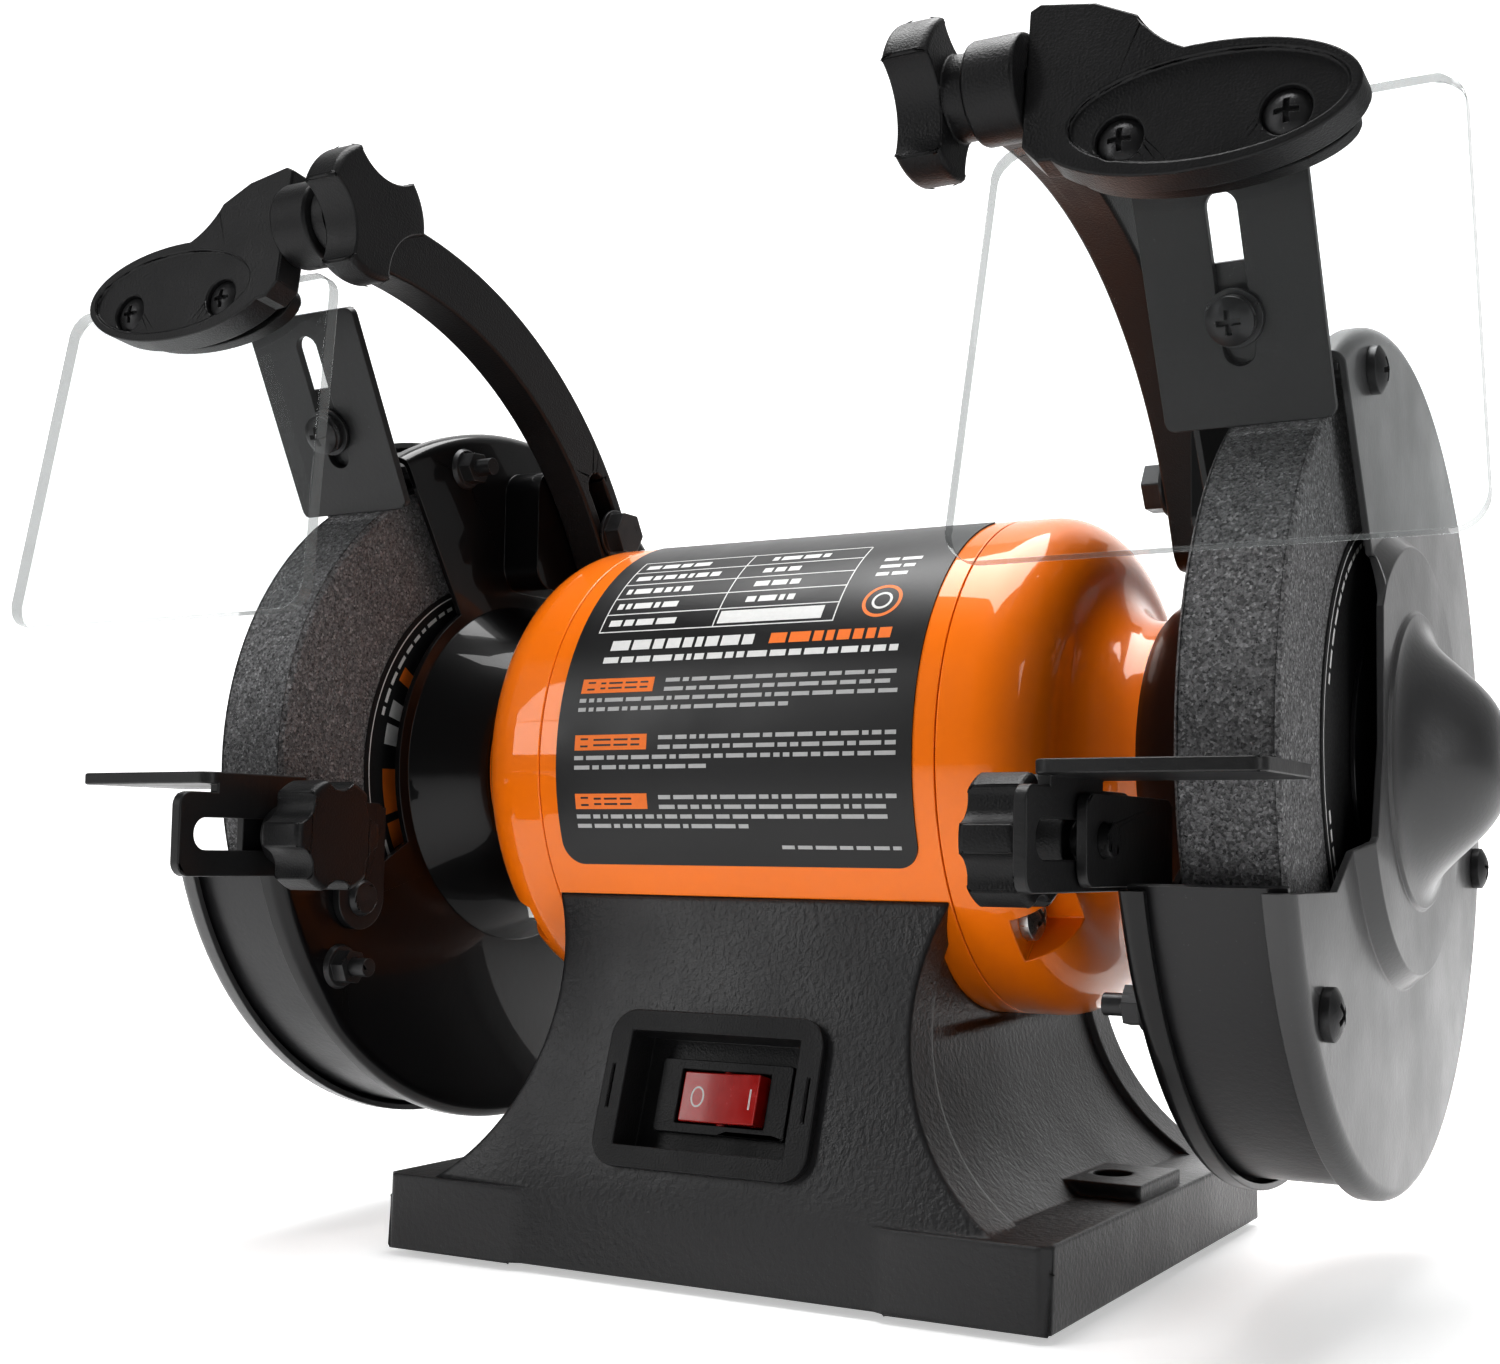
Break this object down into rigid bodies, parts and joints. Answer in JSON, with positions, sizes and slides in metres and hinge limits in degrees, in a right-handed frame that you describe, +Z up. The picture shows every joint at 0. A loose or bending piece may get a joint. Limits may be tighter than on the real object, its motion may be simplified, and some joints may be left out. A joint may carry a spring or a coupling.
{
  "type": "bench grinder",
  "caption": "Bench grinder: a motor on a pedestal turns a guarded abrasive wheel at each end, with eye shields, spark arresters and tool rests.",
  "frame": {"origin": "middle of the two bench bolt holes, on the plane the base stands on", "axes": "+X along the arbor towards the right-hand wheel seen from the front, +Y to the back, +Z up"},
  "size_m": [0.3282, 0.2042, 0.2369],
  "materials": {
    "base_paint": "satin",
    "zinc_steel": "satin",
    "plate_steel": "satin",
    "rubber": "matte",
    "switch_black": "matte",
    "switch_red": "gloss",
    "capacitor_can": "satin",
    "motor_paint": "gloss",
    "label": "satin",
    "core_steel": "satin",
    "copper": "gloss",
    "ground_steel": "polished",
    "black_steel": "satin",
    "nut_steel": "satin",
    "blotter": "matte",
    "abrasive": "rough",
    "guard_gloss": "gloss",
    "band_paint": "satin",
    "cover_paint": "satin",
    "black_sheet": "satin",
    "black_plastic": "satin",
    "clear_plastic": "clear"
  },
  "bodies": {
    "frame": {"base": "base_paint", "base_plate": "plate_steel", "rubber_feet": "rubber", "base_screws": "zinc_steel", "saddle_bolts": "zinc_steel", "switch_housing": "switch_black", "switch_body": "switch_black", "cord_gland": "rubber", "capacitor": "capacitor_can", "motor_shell": "motor_paint", "end_bell_left": "motor_paint", "end_bell_right": "motor_paint", "label_plate": "label", "through_bolts": "zinc_steel", "stator_core": "core_steel", "stator_windings": "copper", "bearing_outer_rings": "ground_steel", "inner_guard_left": "guard_gloss", "inner_guard_right": "guard_gloss", "guard_band_left": "band_paint", "guard_band_right": "band_paint", "outer_cover_left": "cover_paint", "outer_cover_right": "cover_paint", "guard_mount_screws": "nut_steel", "cover_screws": "black_steel", "cover_nuts": "black_steel", "arrester_screws": "black_steel", "rest_bracket_left": "black_sheet", "rest_bracket_right": "black_sheet", "bracket_rivets": "zinc_steel", "arm_bolts": "black_steel", "shield_arm_left": "black_plastic", "shield_arm_right": "black_plastic"},
    "spindle": {"arbor_shaft": "ground_steel", "rotor_core": "core_steel", "bearing_inner_rings": "ground_steel", "bearing_balls": "ground_steel", "inner_flanges": "black_steel", "outer_flanges": "black_steel", "arbor_nuts": "nut_steel", "wheel_blotters": "blotter", "wheel_left": "abrasive", "wheel_right": "abrasive"},
    "rocker": {"switch_rocker": "switch_red"},
    "shield_left": {"shield_clamp_left": "black_plastic", "clamp_back_left": "black_plastic", "eye_shield_left": "clear_plastic", "shield_screws_left": "black_steel"},
    "shield_knob_left": {"shield_knob_left": "black_plastic"},
    "arrester_left": {"spark_arrester_left": "black_sheet"},
    "rest_left": {"tool_rest_left": "black_sheet"},
    "rest_knob_left": {"rest_knob_left": "black_plastic"},
    "shield_right": {"shield_clamp_right": "black_plastic", "clamp_back_right": "black_plastic", "eye_shield_right": "clear_plastic", "shield_screws_right": "black_steel"},
    "shield_knob_right": {"shield_knob_right": "black_plastic"},
    "arrester_right": {"spark_arrester_right": "black_sheet"},
    "rest_right": {"tool_rest_right": "black_sheet"},
    "rest_knob_right": {"rest_knob_right": "black_plastic"}
  },
  "joints": [
    {"name": "arbor_spin", "type": "hinge", "parent": "frame", "child": "spindle", "pos_m": [0, 0, 0.109], "axis": [1, 0, 0], "continuous": true},
    {"name": "switch_rock", "type": "hinge", "parent": "frame", "child": "rocker", "pos_m": [0, -0.05234, 0.03714], "axis": [0, 0.2867, 0.958], "range_deg": [0, 14]},
    {"name": "shield_tilt_left", "type": "hinge", "parent": "frame", "child": "shield_left", "pos_m": [-0.0928, -0.095, 0.2235], "axis": [-1, 0, 0], "range_deg": [-10, 80]},
    {"name": "shield_knob_turn_left", "type": "hinge", "parent": "frame", "child": "shield_knob_left", "pos_m": [-0.07, -0.095, 0.2235], "axis": [-1, 0, 0], "continuous": true},
    {"name": "arrester_slide_left", "type": "slide", "parent": "frame", "child": "arrester_left", "axis": [0, -0.4384, 0.8988], "range_m": [-0.0008, 0.005]},
    {"name": "rest_slide_left", "type": "slide", "parent": "frame", "child": "rest_left", "axis": [0, -1, 0], "range_m": [-0.0015, 0.01]},
    {"name": "rest_knob_turn_left", "type": "hinge", "parent": "frame", "child": "rest_knob_left", "pos_m": [-0.08, -0.0882, 0.0915], "axis": [-1, 0, 0], "continuous": true},
    {"name": "shield_tilt_right", "type": "hinge", "parent": "frame", "child": "shield_right", "pos_m": [0.0928, -0.095, 0.2235], "axis": [-1, 0, 0], "range_deg": [-10, 80]},
    {"name": "shield_knob_turn_right", "type": "hinge", "parent": "frame", "child": "shield_knob_right", "pos_m": [0.07, -0.095, 0.2235], "axis": [1, 0, 0], "continuous": true},
    {"name": "arrester_slide_right", "type": "slide", "parent": "frame", "child": "arrester_right", "axis": [0, -0.4384, 0.8988], "range_m": [-0.0008, 0.005]},
    {"name": "rest_slide_right", "type": "slide", "parent": "frame", "child": "rest_right", "axis": [0, -1, 0], "range_m": [-0.0015, 0.01]},
    {"name": "rest_knob_turn_right", "type": "hinge", "parent": "frame", "child": "rest_knob_right", "pos_m": [0.08, -0.0882, 0.0915], "axis": [1, 0, 0], "continuous": true}
  ]
}
